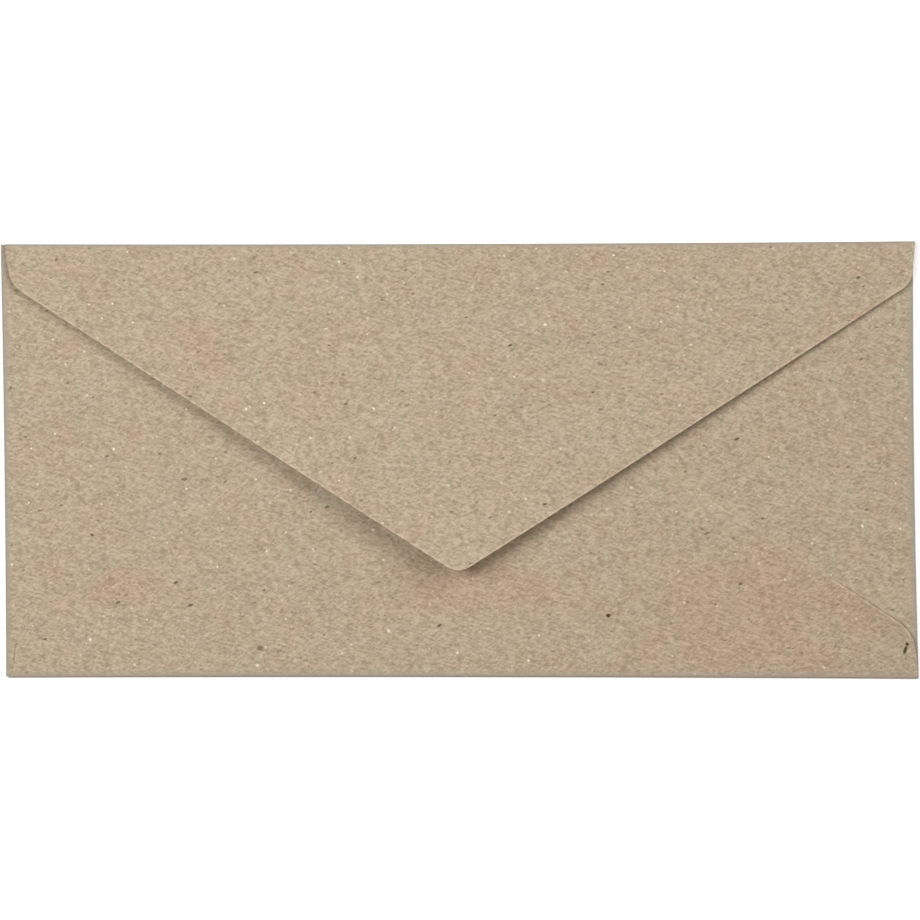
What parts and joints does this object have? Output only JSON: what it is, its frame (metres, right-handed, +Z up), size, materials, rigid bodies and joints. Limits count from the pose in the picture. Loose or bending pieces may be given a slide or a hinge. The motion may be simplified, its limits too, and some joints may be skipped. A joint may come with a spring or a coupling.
{
  "type": "envelope",
  "caption": "Long envelope of folded brown recycled paper, with a flat letter pocket, slanting glued seams and a pointed, gummed seal flap that stands slightly open.",
  "frame": {"origin": "on the outer face of the address panel, below the middle of the envelope, at the bottom centre of its box", "axes": "+X along the envelope to the right as its back is seen, +Y from the bottom fold towards the fold of the seal flap, +Z up from the address panel through the layers of the back"},
  "size_m": [0.23, 0.11, 0.0087],
  "materials": {
    "kraft_paper": "matte",
    "seam_glue": "satin",
    "seal_gum": "gloss"
  },
  "bodies": {
    "pocket": {"address_panel": "kraft_paper", "left_side_flap": "kraft_paper", "right_side_flap": "kraft_paper", "bottom_flap": "kraft_paper", "left_fold": "kraft_paper", "right_fold": "kraft_paper", "bottom_fold": "kraft_paper", "top_fold": "kraft_paper", "left_seam_glue": "seam_glue", "right_seam_glue": "seam_glue"},
    "flap": {"seal_flap": "kraft_paper", "seal_gum": "seal_gum"}
  },
  "joints": [
    {"name": "seal_flap_fold", "type": "hinge", "parent": "pocket", "child": "flap", "pos_m": [0, 0.05385, 0.00115], "axis": [-1, 0, 0], "range_deg": [-4.5, 173], "deforming": ["top_fold"]}
  ]
}
